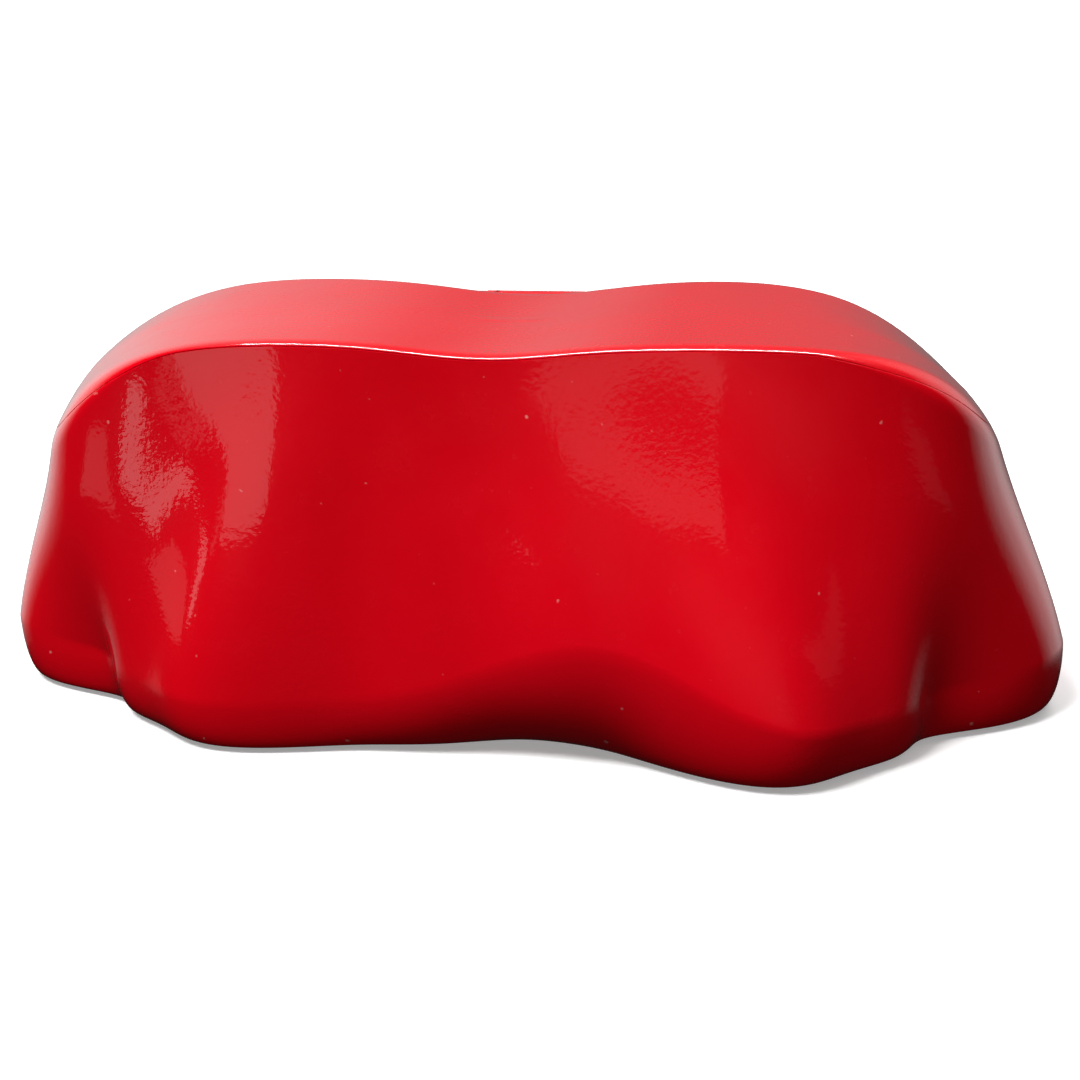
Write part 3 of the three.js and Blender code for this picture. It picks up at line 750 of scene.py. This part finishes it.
CARD_DISTANCE = 95  # millimetres from the middle of the case
LEFT, FRONT, RIGHT = -50, 0, 55  # azimuths of the cards, in degrees from the front
reflected_card("window_wide", LEFT, [(5, 20), (42, 18), (35, 32), (10, 29)], 0.9)
reflected_card("window_slat", LEFT, [(-24, 7), (-18, 8), (-5, 19), (-10, 19)], 1.4)
reflected_card("window_gap", LEFT, [(-4, 18), (-2, 18), (7, 23), (5, 23.5)], 0.5)
reflected_card("window_side", LEFT, [(-50, 0), (-30, 3), (-24, 13), (-36, 12)], 0.35)
patch = [(-21, 37), (-12, 38), (8, 45), (28, 48), (30, 54), (9, 50.5), (-9, 44.5), (-17, 41)]
reflected_card("room_patch", FRONT, patch, 0.36)
reflected_card("door_strip", RIGHT, [(15, 17), (33, 9), (14, 23), (-3, 28)], 0.1)


def area(name, place, aim, width, height, power):
    """A soft light that lights the object but isn't mirrored in it."""
    data = bpy.data.lights.new(name, "AREA")
    data.shape = "RECTANGLE"
    data.size, data.size_y = width, height
    data.energy = power
    light = bpy.data.objects.new(name, data)
    bpy.context.scene.collection.objects.link(light)
    light.location = place
    light.rotation_mode = "QUATERNION"
    light.rotation_quaternion = (Vector(aim) - Vector(place)).to_track_quat("-Z", "Y")
    light.visible_glossy = False


area("key_light", (-0.32, -0.38, 1.02), (0, 0, 0.02), 0.45, 0.45, 18)
area("fill_light", (0.05, -0.8, 0.10), (0, 0, 0.015), 0.8, 0.16, 0.8)
area("back_light", (0.25, 0.65, 0.75), (0, 0, 0.02), 0.5, 0.5, 4)
# A bright bar above the front, which the crisp top edge mirrors as a thin line.
bar = [(x, y, 0.3) for x, y in ((-0.16, -0.125), (0.16, -0.125), (0.16, -0.075), (-0.16, -0.075))]
only_reflected(stage_card("glint_card", bar, glow("glint glow", 90)))


def build_world():
    """A dark room in front, and a pale wall behind and above, chosen by direction."""
    world = bpy.data.worlds.new("room")
    world.use_nodes = True
    bpy.context.scene.world = world
    tree = world.node_tree

    def ranged(socket, low, high, to_low=0.0, to_high=1.0):
        node = tree.nodes.new("ShaderNodeMapRange")
        for key, value in (("From Min", low), ("From Max", high), ("To Min", to_low), ("To Max", to_high)):
            node.inputs[key].default_value = value
        tree.links.new(socket, node.inputs["Value"])
        return node.outputs[0]

    def joined(operation, a, b):
        node = tree.nodes.new("ShaderNodeMath")
        node.operation = operation
        tree.links.new(a, node.inputs[0])
        tree.links.new(b, node.inputs[1])
        return node.outputs[0]

    parts = tree.nodes.new("ShaderNodeSeparateXYZ")
    tree.links.new(tree.nodes.new("ShaderNodeTexCoord").outputs["Generated"], parts.inputs[0])
    behind = ranged(parts.outputs["Y"], 0.05, 0.45)
    not_low = ranged(parts.outputs["Z"], -0.45, -0.25)
    sideways = tree.nodes.new("ShaderNodeMath")
    sideways.operation = "ABSOLUTE"
    tree.links.new(parts.outputs["X"], sideways.inputs[0])
    back_wall = ranged(sideways.outputs[0], 0.15, 0.6, 0.16, 0.85)
    overhead = ranged(parts.outputs["Z"], 0.5, 0.9, 0.0, 0.4)
    wall = joined("MULTIPLY", joined("MULTIPLY", behind, not_low), back_wall)
    pale = joined("MAXIMUM", wall, overhead)
    strength = ranged(pale, 0.0, 1.0, 0.006, 1.0)
    tree.links.new(strength, tree.nodes["Background"].inputs["Strength"])
    tree.nodes["Background"].inputs["Color"].default_value = (1, 1, 1, 1)


build_world()
bpy.context.scene.view_settings.view_transform = "Standard"
